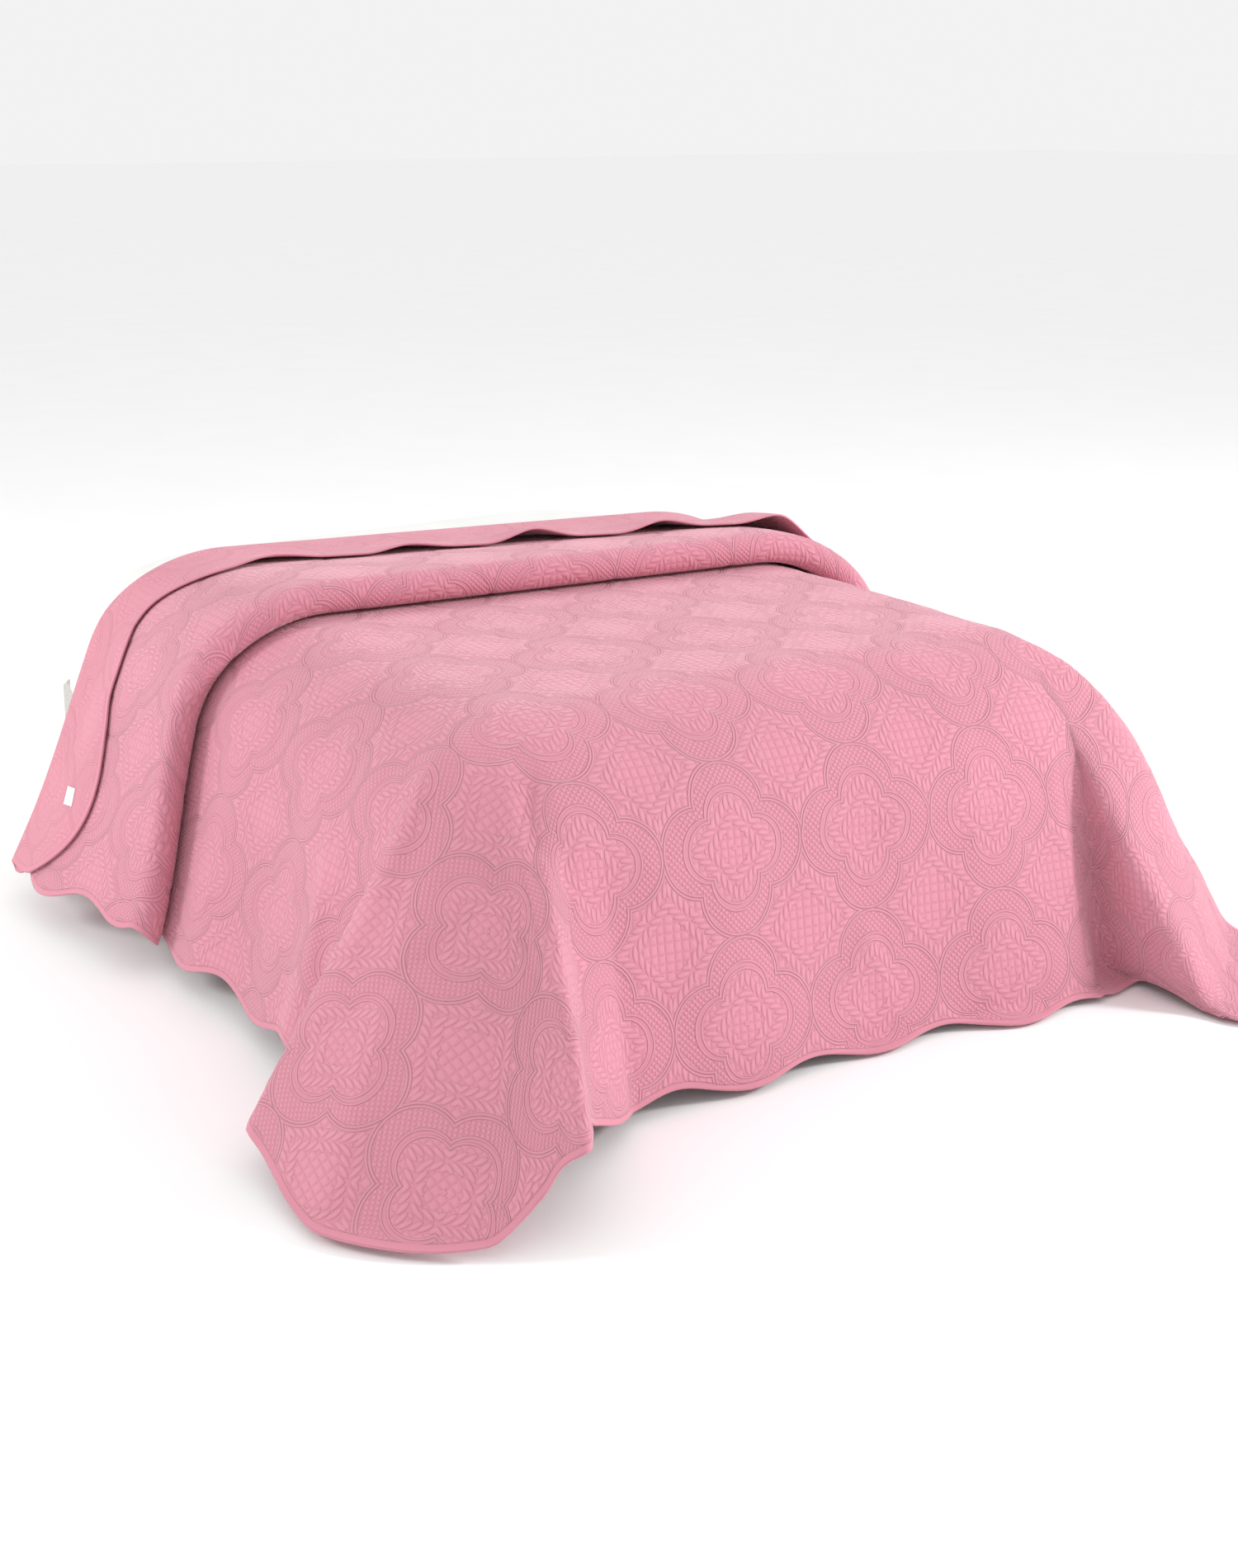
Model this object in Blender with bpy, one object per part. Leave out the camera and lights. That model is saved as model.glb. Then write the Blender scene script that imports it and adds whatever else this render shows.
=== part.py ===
# Summer quilt spread over a double bed, with its top end pleated and turned back.
# Frame: +X to the right, +Y from the foot to the head, +Z up, origin on the floor under the bed's middle.

from math import atan2, cos, degrees, exp, hypot, pi, radians, sin, sqrt

import bmesh
import bpy
from mathutils import Vector

# Bed
mattress_width = 1.520
mattress_length = 2.000
mattress_top = 0.610
mattress_edge_radius = 0.265
mattress_corner_radius = 0.265
mattress_bottom_bevel = 0.020
base_width = 1.460
base_length = 1.940
base_height = 0.300
base_corner_radius = 0.060
base_bevel = 0.008
corner_steps = 8
edge_steps = 9
top_corner_share = 0.6
top_corner_radius = 0.050
face_gap = 0.0003

# Quilt, flat
quilt_width = 2.500
quilt_length = 2.700
medallion_width = 0.280
medallion_length = 0.2915
first_medallion_across = -2.2
first_medallion_along = 1.9
scallop_depth = 0.030
scallop_band = 0.120
scallop_start = 0.340
scallop_ease = 0.100
hem_corner_radius = 0.300
hem_corner_zone = 0.400
cloth_thickness = 0.0040
relief_height = 0.0020
relief_ease = 0.100
lobe_share = 0.250
normal_step = 0.0015

# Quilt, as it lies: the lay of the cloth over the edges of the bed
cloth_rise = 0.615
floor_rest = 0.006
floor_bend = 0.025
side_start = 0.490
foot_start = -0.728
edge_radius = 0.290
left_flare = 17.0
right_flare = 17.0
foot_flare = 12.0
foot_flare_right = 19.0
foot_flare_start = 0.10
skew = radians(-3.2)
lattice_x = -side_start - 0.562 * medallion_width
lattice_y = foot_start - 0.754 * medallion_width
skew_end = -0.25

# Corner folds: one row for each ray of the cloth from the corner of the flat top.
# turn on the cloth, heading on the floor, flare from upright (degrees), bend radius (metres)
near_corner_rays = (
    (0.0, 0.0, 17.0, 0.290),
    (10.0, 13.0, 16.0, 0.300),
    (20.5, 14.0, 38.0, 0.310),
    (35.0, 35.0, 43.0, 0.290),
    (51.0, 57.0, 44.0, 0.290),
    (66.0, 69.0, 50.0, 0.290),
    (78.0, 74.0, 30.0, 0.300),
    (90.0, 90.0, 12.0, 0.290),
)
far_corner_rays = (
    (0.0, 0.0, 17.0, 0.290),
    (12.0, 14.0, 22.0, 0.310),
    (20.0, 21.0, 37.0, 0.300),
    (48.0, 54.0, 25.0, 0.430),
    (65.5, 80.0, 38.0, 0.290),
    (80.5, 73.0, 8.0, 0.290),
    (90.0, 90.0, 19.0, 0.290),
)
crease_samples = (-4.0, -2.0, 0.0, 2.0, 4.0)
gather_reach = 0.60

# Turned back end: pleat under the roll, roll, band and flap, on the unfolded length of the cloth
roll_y = -0.046
roll_slope = -0.090
back_fold_y = 0.412
back_fold_slope = -0.170
pleat_depth = 0.170
pleat_radius = 0.0065
roll_radius = 0.030
band_rise = 0.034
back_fold_radius = 0.0090
flap_rise = 0.0135
slope_reach = 0.780

# The turned back end lies further to the left than the rest: slide, and the stretch it builds up over,
# which is hidden in the pleat and the roll
turned_slide = -0.075
slide_start = 1.600
slide_ease = 0.320

# Its folds swing towards the foot where they hang at the left, and the cloth flares wider there
hang_swing = -0.105
swing_start = 0.700
swing_ease = 0.550
head_flare = 28.0
head_flare_start = -0.200
head_flare_ease = 0.500

# Arched lifts of the flap's free edge: place across, height, half width (metres).
# The flap settles on the band behind them, and they rise over their own run.
flap_settle = 0.120
lift_start = 0.100
lift_ease = 0.140
flap_lifts = (
    (-0.460, 0.014, 0.050),
    (-0.190, 0.012, 0.050),
    (0.070, 0.024, 0.055),
    (0.350, 0.020, 0.055),
    (0.620, 0.030, 0.060),
)

# Soft folds of the hanging sides: place along the edge, outward reach, half width (metres).
# They begin a little below the bend over the edge and reach their depth over the next stretch.
fold_start = 0.150
fold_ease = 0.450
left_folds = (
    (-0.640, 0.012, 0.035),
    (-0.420, -0.012, 0.080),
    (-0.200, 0.010, 0.060),
    (0.300, 0.012, 0.080),
)
right_folds = (
    (-0.480, 0.022, 0.090),
    (-0.160, -0.014, 0.080),
    (0.160, 0.018, 0.090),
)
foot_folds = (
    (-0.250, 0.006, 0.080),
    (0.020, -0.005, 0.070),
    (0.300, 0.006, 0.080),
)

# Care label, square, on the reverse of the flap where it hangs at the left
label_size = 0.036
label_across = -1.52
label_from_edge = 0.095
label_thickness = 0.0010
label_gap = 0.0004
label_steps = 3
label_probe = 0.020

# Grid of the cloth
columns = 45
hem_rows = 5
hem_row_power = 1.5
foot_rows = 21
pleat_rows = 4
under_rows = 2
roll_rows = 6
band_rows = 6
back_rows = 4
flap_rows = 6


def clear_scene():
    for item in list(bpy.data.objects):
        bpy.data.objects.remove(item, do_unlink=True)


def smooth_step(value):
    t = min(max(value, 0.0), 1.0)
    return t * t * (3.0 - 2.0 * t)


def bell(distance, half_width):
    return smooth_step(1.0 - abs(distance) / (2.0 * half_width))


def edge_profile(reach, radius, flare):
    # outward and downward travel of cloth that bends over an edge, then hangs at a flare
    bend = pi / 2 - flare
    if reach <= 0.0:
        return reach, 0.0
    if reach < radius * bend:
        turn = reach / radius
        return radius * sin(turn), radius * (1.0 - cos(turn))
    rest = reach - radius * bend
    outward = radius * sin(bend) + rest * cos(bend)
    downward = radius * (1.0 - cos(bend)) + rest * sin(bend)
    return outward, downward


def meet_floor(outward, downward, lift):
    # cloth that would pass the floor turns outward and lies on it
    limit = cloth_rise + lift - floor_rest - floor_bend
    over = downward - limit
    if over <= 0.0:
        return outward, downward
    settled = floor_bend * (1.0 - exp(-over / floor_bend))
    return outward + over - settled, limit + settled


def hang(reach, radius, flare, lift, spread):
    outward, downward = edge_profile(reach, radius + lift, radians(flare))
    return meet_floor(outward + spread, downward, lift)


def ray_point(row, reach, lift):
    # a ray leaves the corner straight and reaches its floor heading lower down
    outward, downward = hang(reach, row[3], row[2], lift, 0.0)
    heading = radians(row[0] + (row[1] - row[0]) * smooth_step(reach / gather_reach))
    return Vector((outward * cos(heading), outward * sin(heading), downward))


def corner_point(rays, reach, turn, lift):
    # mean of nearby rays, so that the creases between the flat facets are rounded
    total = Vector((0.0, 0.0, 0.0))
    for offset in crease_samples:
        place = min(max(turn + offset, 0.0), 90.0)
        index = max(i for i in range(len(rays) - 1) if rays[i][0] <= place)
        first = rays[index]
        second = rays[index + 1]
        share = (place - first[0]) / (second[0] - first[0])
        total += ray_point(first, reach, lift).lerp(ray_point(second, reach, lift), share)
    return total / len(crease_samples)


def fold_reach(folds, place, reach):
    depth = smooth_step((reach - fold_start) / fold_ease)
    return depth * sum(height * bell(place - centre, half) for centre, height, half in folds)


def lay_over_bed(across, along, lift):
    # place of a point of the unfolded cloth, lifted by the layers below it
    left = -side_start - across
    right = across - side_start
    foot = foot_start - along
    top = cloth_rise + lift
    if foot <= 0.0 and left > 0.0:
        flare = left_flare + (head_flare - left_flare) * smooth_step((along - head_flare_start) / head_flare_ease)
        outward, downward = hang(left, edge_radius, flare, lift, fold_reach(left_folds, along, left))
        return Vector((-side_start - outward, along, top - downward))
    if foot <= 0.0 and right > 0.0:
        outward, downward = hang(right, edge_radius, right_flare, lift, fold_reach(right_folds, along, right))
        return Vector((side_start + outward, along, top - downward))
    if foot <= 0.0:
        return Vector((across, along, top))
    if left <= 0.0 and right <= 0.0:
        share = smooth_step((across - foot_flare_start) / (side_start - foot_flare_start))
        flare = foot_flare + (foot_flare_right - foot_flare) * share
        outward, downward = hang(foot, edge_radius, flare, lift, fold_reach(foot_folds, across, foot))
        return Vector((across, foot_start - outward, top - downward))
    side = max(left, right)
    rays = near_corner_rays if left > 0.0 else far_corner_rays
    spread = corner_point(rays, hypot(side, foot), degrees(atan2(foot, side)), lift)
    sign = -1.0 if left > 0.0 else 1.0
    return Vector((sign * (side_start + spread.x), foot_start - spread.y, top - spread.z))


def fold_line(level, slope, across):
    swing = hang_swing * smooth_step((-across - swing_start) / swing_ease)
    return level + slope * max(-slope_reach, min(slope_reach, across)) + swing


def band_height(along, roll, back):
    share = smooth_step((along - roll) / (back - roll))
    roll_top = 2.0 * pleat_radius + 2.0 * roll_radius
    return roll_top + (band_rise - roll_top) * share


def fold_lengths(across):
    # unfolded place where each part of the section begins
    roll = fold_line(roll_y, roll_slope, across)
    back = fold_line(back_fold_y, back_fold_slope, across)
    pleat_start = roll + pleat_depth
    under_start = pleat_start + pi * pleat_radius
    roll_start = under_start + pleat_depth
    band_start = roll_start + pi * roll_radius
    back_start = band_start + back - roll
    flap_start = back_start + pi * back_fold_radius
    return roll, back, pleat_start, under_start, roll_start, band_start, back_start, flap_start


def section(across, length):
    # place along the bed and height above the lowest layer, for an unfolded length
    roll, back, pleat, under, roll_start, band, back_start, flap = fold_lengths(across)
    if length <= pleat:
        return length, 0.0
    if length <= under:
        turn = (length - pleat) / pleat_radius
        return pleat + pleat_radius * sin(turn), pleat_radius * (1.0 - cos(turn))
    if length <= roll_start:
        return pleat - (length - under), 2.0 * pleat_radius
    if length <= band:
        turn = (length - roll_start) / roll_radius
        return roll - roll_radius * sin(turn), 2.0 * pleat_radius + roll_radius * (1.0 - cos(turn))
    if length <= back_start:
        along = roll + length - band
        return along, band_height(along, roll, back)
    if length <= flap:
        turn = (length - back_start) / back_fold_radius
        return back + back_fold_radius * sin(turn), band_rise + back_fold_radius * (1.0 - cos(turn))
    travel = length - flap
    along = back - travel
    clearance = 2.0 * back_fold_radius
    clearance += (flap_rise - clearance) * smooth_step(travel / flap_settle)
    rising = smooth_step((travel - lift_start) / lift_ease)
    clearance += rising * sum(height * bell(across - centre, half) for centre, height, half in flap_lifts)
    return along, band_height(along, roll, back) + clearance


def slide(length_place):
    return turned_slide * smooth_step((length_place - slide_start) / slide_ease)


def cloth_point(width_place, length_place):
    # width_place from the left hem and length_place from the foot hem, on the flat cloth
    column = first_medallion_across * medallion_width + width_place
    row = first_medallion_along * medallion_length - length_place
    across = lattice_x + column * cos(skew) + max(row, skew_end) * sin(skew) + slide(length_place)
    unfolded = lattice_y - (row * cos(skew) - column * sin(skew))
    along, lift = section(across, unfolded)
    return lay_over_bed(across, along, lift)


def cloth_normal(width_place, length_place):
    step = normal_step
    side = cloth_point(width_place + step, length_place) - cloth_point(width_place - step, length_place)
    rise = cloth_point(width_place, length_place + step) - cloth_point(width_place, length_place - step)
    return side.cross(rise).normalized()


def scallop(place, from_corner):
    # depth of the wavy hem, which runs out into the plain round corners
    calm = smooth_step((from_corner - scallop_start) / scallop_ease)
    return calm * scallop_depth * (0.5 + 0.5 * cos(2.0 * pi * place))


def corner_inset(distance):
    if distance >= hem_corner_radius:
        return 0.0
    return hem_corner_radius - sqrt(hem_corner_radius ** 2 - (hem_corner_radius - distance) ** 2)


def outline_point(share, length_place):
    # place across the cloth for a share from the left hem to the right hem
    ends = min(length_place, quilt_length - length_place)
    inset = corner_inset(max(ends, 0.0))
    plain = share * quilt_width
    squeeze = max(1.0 - min(plain, quilt_width - plain) / hem_corner_zone, 0.0)
    place = plain + inset * (squeeze if share < 0.5 else -squeeze)
    wave = scallop(first_medallion_along - length_place / medallion_length, ends)
    left_fall = smooth_step(1.0 - (place - inset) / scallop_band)
    right_fall = smooth_step(1.0 - (quilt_width - inset - place) / scallop_band)
    return place + wave * (left_fall - right_fall)


def hem_shift(width_place, length_place):
    sides = min(width_place, quilt_width - width_place)
    wave = scallop(first_medallion_across + width_place / medallion_width, sides)
    foot_fall = smooth_step(1.0 - length_place / scallop_band)
    head_fall = smooth_step(1.0 - (quilt_length - length_place) / scallop_band)
    return wave * (foot_fall - head_fall)


def row_shares():
    # share of each part of the section that every row stands at, as (part, share) pairs
    rows = [(0, (i / hem_rows) ** hem_row_power) for i in range(hem_rows)]
    rows += [(1, i / foot_rows) for i in range(foot_rows)]
    for part, count in ((2, pleat_rows), (3, under_rows), (4, roll_rows), (5, band_rows), (6, back_rows)):
        rows += [(part, i / count) for i in range(count)]
    rows += [(7, sin(0.5 * pi * i / flap_rows)) for i in range(flap_rows + 1)]
    return rows


def row_place(part, share, width_place):
    # length on the flat cloth of one row, at one place across the cloth
    column = first_medallion_across * medallion_width + width_place
    across = lattice_x + column * cos(skew) + skew_end * sin(skew)
    slant = cos(skew)
    hem_row = first_medallion_along * medallion_length
    start = lattice_y - (hem_row * cos(skew) - column * sin(skew))
    stops = [0.0, hem_corner_radius]
    for index, stop in enumerate(fold_lengths(across)[2:], start=2):
        moved = across + slide((stop - start) / slant)
        stops.append((fold_lengths(moved)[index] - start) / slant)
    stops.append(quilt_length)
    return stops[part] + share * (stops[part + 1] - stops[part])


def flat_point(share, part, row_share):
    place = share * quilt_width
    for _ in range(4):
        length_place = row_place(part, row_share, place)
        place = outline_point(share, length_place)
    return place, length_place + hem_shift(place, length_place)


def flat_grid():
    shares = [i / columns for i in range(columns + 1)]
    return [[flat_point(share, part, row_share) for share in shares] for part, row_share in row_shares()]


def quilting_relief(width_place, length_place):
    # raised fields of the four lobed medallions, low along the stitched outlines
    column = first_medallion_across + width_place / medallion_width
    row = first_medallion_along - length_place / medallion_length
    x = abs(column % 1.0 - 0.5)
    y = abs(row % 1.0 - 0.5)
    near = min(x, y)
    far = max(x, y)
    outline = abs(hypot(far - lobe_share, near) - lobe_share)
    return relief_height * smooth_step(outline / relief_ease)


def cell_corners(grid, j, i):
    return grid[j][i], grid[j][i + 1], grid[j + 1][i + 1], grid[j + 1][i]


def close_shell(mesh, upper, lower):
    # both sides of a cell are split along the same, shorter diagonal
    rows = len(upper)
    wide = len(upper[0])
    for j in range(rows - 1):
        for i in range(wide - 1):
            above = cell_corners(upper, j, i)
            below = cell_corners(lower, j, i)
            split = ((0, 1, 2), (0, 2, 3))
            if (above[0].co - above[2].co).length > (above[1].co - above[3].co).length:
                split = ((0, 1, 3), (1, 2, 3))
            for first, second, third in split:
                mesh.faces.new((above[first], above[second], above[third]))
                mesh.faces.new((below[third], below[second], below[first]))
    for i in range(wide - 1):
        mesh.faces.new((lower[0][i], lower[0][i + 1], upper[0][i + 1], upper[0][i]))
        mesh.faces.new((lower[-1][i + 1], lower[-1][i], upper[-1][i], upper[-1][i + 1]))
    for j in range(rows - 1):
        mesh.faces.new((lower[j + 1][0], lower[j][0], upper[j][0], upper[j + 1][0]))
        mesh.faces.new((lower[j][-1], lower[j + 1][-1], upper[j + 1][-1], upper[j][-1]))


def finish_object(name, mesh, material):
    bmesh.ops.recalc_face_normals(mesh, faces=mesh.faces[:])
    bmesh.ops.triangulate(mesh, faces=mesh.faces[:])
    data = bpy.data.meshes.new(name)
    mesh.to_mesh(data)
    mesh.free()
    data.shade_smooth()
    data.materials.append(material)
    item = bpy.data.objects.new(name, data)
    bpy.context.collection.objects.link(item)
    return item


def surface_material(name, colour, roughness):
    material = bpy.data.materials.new(name)
    material.use_nodes = True
    shader = material.node_tree.nodes["Principled BSDF"]
    shader.inputs["Base Color"].default_value = (*colour, 1.0)
    shader.inputs["Roughness"].default_value = roughness
    shader.inputs["Metallic"].default_value = 0.0
    return material


def make_quilt(material):
    mesh = bmesh.new()
    upper = []
    lower = []
    for line in flat_grid():
        upper_line = []
        lower_line = []
        for place, length_place in line:
            centre = cloth_point(place, length_place)
            normal = cloth_normal(place, length_place)
            relief = quilting_relief(place, length_place)
            upper_line.append(mesh.verts.new(centre + normal * (cloth_thickness / 2.0 + relief)))
            lower_line.append(mesh.verts.new(centre - normal * cloth_thickness / 2.0))
        upper.append(upper_line)
        lower.append(lower_line)
    close_shell(mesh, upper, lower)
    return finish_object("quilt", mesh, material)


def make_label(material, quilt):
    middle = (label_across - first_medallion_across) * medallion_width
    edge = quilt_length - label_from_edge
    mesh = bmesh.new()
    upper = []
    lower = []
    for j in range(label_steps + 1):
        upper_line = []
        lower_line = []
        for i in range(label_steps + 1):
            place = middle + label_size * (i / label_steps - 0.5)
            length_place = edge - label_size * (1.0 - j / label_steps)
            outward = -cloth_normal(place, length_place)
            start = cloth_point(place, length_place) + outward * label_probe
            base = quilt.ray_cast(start, -outward)[1]
            upper_line.append(mesh.verts.new(base + outward * label_gap))
            lower_line.append(mesh.verts.new(base + outward * (label_gap + label_thickness)))
        upper.append(upper_line)
        lower.append(lower_line)
    close_shell(mesh, upper, lower)
    return finish_object("care_label", mesh, material)


def rounded_rectangle(half_x, half_y, radius, height):
    points = []
    for quarter in range(4):
        centre_x = (half_x - radius) * (1.0 if quarter in (0, 3) else -1.0)
        centre_y = (half_y - radius) * (1.0 if quarter in (0, 1) else -1.0)
        for step in range(corner_steps + 1):
            turn = pi / 2 * (quarter + step / corner_steps)
            points.append(Vector((centre_x + radius * cos(turn), centre_y + radius * sin(turn), height)))
    return points


def stack_rings(name, rings, material):
    mesh = bmesh.new()
    loops = [[mesh.verts.new(point) for point in ring] for ring in rings]
    for below, above in zip(loops, loops[1:]):
        for i in range(len(below)):
            k = (i + 1) % len(below)
            mesh.faces.new((below[i], below[k], above[k], above[i]))
    mesh.faces.new(loops[0][::-1])
    mesh.faces.new(loops[-1])
    return finish_object(name, mesh, material)


def make_base(material):
    rings = []
    levels = ((base_bevel, 0.0), (0.0, base_bevel), (0.0, base_height - base_bevel), (base_bevel, base_height))
    for inset, height in levels:
        half_x = base_width / 2.0 - inset
        half_y = base_length / 2.0 - inset
        rings.append(rounded_rectangle(half_x, half_y, base_corner_radius - inset, height))
    return stack_rings("bed_base", rings, material)


def make_mattress(material):
    bottom = base_height + face_gap
    levels = [(mattress_bottom_bevel, bottom), (0.0, bottom + mattress_bottom_bevel)]
    for i in range(edge_steps + 1):
        turn = 0.5 * pi * i / edge_steps
        inset = mattress_edge_radius * (1.0 - cos(turn))
        levels.append((inset, mattress_top - mattress_edge_radius * (1.0 - sin(turn))))
    rings = []
    for inset, height in levels:
        half_x = mattress_width / 2.0 - inset
        half_y = mattress_length / 2.0 - inset
        radius = max(mattress_corner_radius - top_corner_share * inset, top_corner_radius)
        rings.append(rounded_rectangle(half_x, half_y, radius, height))
    return stack_rings("mattress", rings, material)


def build():
    clear_scene()
    pink = surface_material("pink quilted microfibre", (0.730, 0.329, 0.413), 0.85)
    white = surface_material("white woven label", (0.85, 0.85, 0.83), 0.70)
    sheet = surface_material("white cotton mattress", (0.82, 0.82, 0.80), 0.85)
    divan = surface_material("light grey upholstery", (0.55, 0.54, 0.52), 0.90)
    make_base(divan)
    make_mattress(sheet)
    quilt = make_quilt(pink)
    make_label(white, quilt)


build()
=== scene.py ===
from math import cos, pi, radians, sin

import bmesh
import bpy
import numpy as np
from mathutils import Euler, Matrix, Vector, noise


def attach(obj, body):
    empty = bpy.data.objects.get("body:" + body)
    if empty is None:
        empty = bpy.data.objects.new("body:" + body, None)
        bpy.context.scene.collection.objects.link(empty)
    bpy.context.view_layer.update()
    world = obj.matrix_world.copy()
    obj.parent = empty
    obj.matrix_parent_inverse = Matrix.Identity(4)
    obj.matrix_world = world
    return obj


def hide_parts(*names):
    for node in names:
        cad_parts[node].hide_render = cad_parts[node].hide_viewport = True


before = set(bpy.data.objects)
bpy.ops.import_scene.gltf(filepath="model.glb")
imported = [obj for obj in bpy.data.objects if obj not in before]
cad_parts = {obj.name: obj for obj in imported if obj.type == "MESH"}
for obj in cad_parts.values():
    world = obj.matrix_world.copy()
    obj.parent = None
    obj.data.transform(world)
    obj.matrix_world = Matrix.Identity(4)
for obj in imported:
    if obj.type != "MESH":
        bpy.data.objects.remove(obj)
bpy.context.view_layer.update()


def linearColour(hexColour):
    # sRGB hex to linear
    shares = [int(hexColour[i:i + 2], 16) / 255 for i in (0, 2, 4)]
    return (*[c / 12.92 if c <= 0.04045 else ((c + 0.055) / 1.055) ** 2.4 for c in shares], 1.0)


def addNode(tree, kind, inputs=(), **settings):
    # an input is a value to set, or a node or socket to link from
    node = tree.nodes.new("ShaderNode" + kind)
    for name, value in settings.items():
        setattr(node, name, value)
    pairs = inputs.items() if isinstance(inputs, dict) else enumerate(inputs)
    for name, value in pairs:
        if isinstance(value, bpy.types.Node):
            value = value.outputs[0]
        if isinstance(value, bpy.types.NodeSocket):
            tree.links.new(value, node.inputs[name])
        else:
            node.inputs[name].default_value = value
    return node


def newMaterial(name):
    material = bpy.data.materials.new(name)
    material.use_nodes = True
    material.node_tree.nodes.clear()
    return material, material.node_tree


def addObject(name, data):
    item = bpy.data.objects.new(name, data)
    bpy.context.collection.objects.link(item)
    return item


# Camera and light

camera = {
    "place": (-2.146, -3.600, 1.584),
    "turnRight": 32.88,
    "tiltDown": 14.29,
    "lens": 47.36,
    "sensorWidth": 36.0,
    "shiftX": 0.0037,
    "shiftY": -0.0968,
    "clipEnd": 200.0,
}

studio = {
    "floorSize": 110.0,
    "floorColour": "FDFDFD",
    "skyStrength": 0.89,
    "aim": (0.0, -0.8, 0.3),
    "leftPlace": (-4.4, 1.6, 2.6),
    "leftSize": 1.5,
    "leftPower": 92.0,
    "rightPlace": (4.6, -3.6, 3.0),
    "rightSize": 1.2,
    "rightPower": 222.0,
}


def makeCamera():
    data = bpy.data.cameras.new("photoCamera")
    data.lens = camera["lens"]
    data.sensor_fit = "AUTO"
    data.sensor_width = camera["sensorWidth"]
    data.shift_x = camera["shiftX"]
    data.shift_y = camera["shiftY"]
    data.clip_end = camera["clipEnd"]
    item = addObject("photoCamera", data)
    item.location = camera["place"]
    turn = Euler((radians(90.0 - camera["tiltDown"]), 0.0, radians(-camera["turnRight"])))
    item.rotation_euler = turn
    bpy.context.scene.camera = item
    bpy.context.scene.view_settings.view_transform = "Standard"


def makeLight(name, place, size, power, target):
    data = bpy.data.lights.new(name, "AREA")
    data.shape = "DISK"
    data.size = size
    data.energy = power
    item = addObject(name, data)
    item.location = place
    item.rotation_euler = (Vector(target) - Vector(place)).to_track_quat("-Z", "Y").to_euler()


def makeStudio():
    # painted board, pale and matt: white with clouding about 330 mm wide
    material, tree = newMaterial("matt painted floor")
    place = addNode(tree, "TexCoord")
    grain = addNode(tree, "TexNoise", {"Vector": place.outputs["Object"], "Scale": 3.0, "Detail": 3.0})
    tone = addNode(tree, "MapRange", (grain, 0.3, 0.7, 0.985, 1.0))
    white = linearColour(studio["floorColour"])
    paint = addNode(tree, "Mix", {0: 1.0, 6: white, 7: tone}, data_type="RGBA", blend_type="MULTIPLY")
    shader = addNode(tree, "BsdfPrincipled", {"Base Color": paint.outputs[2], "Roughness": 0.9})
    addNode(tree, "OutputMaterial", (shader,))
    half = studio["floorSize"] / 2.0
    mesh = bpy.data.meshes.new("studioFloor")
    corners = [(-half, -half, 0.0), (half, -half, 0.0), (half, half, 0.0), (-half, half, 0.0)]
    mesh.from_pydata(corners, [], [(0, 1, 2, 3)])
    mesh.materials.append(material)
    floor = addObject("studioFloor", mesh)

    world = bpy.data.worlds.new("studioSky")
    world.use_nodes = True
    sky = world.node_tree.nodes["Background"]
    sky.inputs["Color"].default_value = (1.0, 1.0, 1.0, 1.0)
    sky.inputs["Strength"].default_value = studio["skyStrength"]
    bpy.context.scene.world = world
    # one soft light at each side, so that cords and folds show from both
    makeLight("leftLight", studio["leftPlace"], studio["leftSize"], studio["leftPower"], studio["aim"])
    makeLight("rightLight", studio["rightPlace"], studio["rightSize"], studio["rightPower"], studio["aim"])


makeCamera()
makeStudio()
print("camera and studio made")


# Quilt: the lay of the cloth, in the same sizes as its solid

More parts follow.
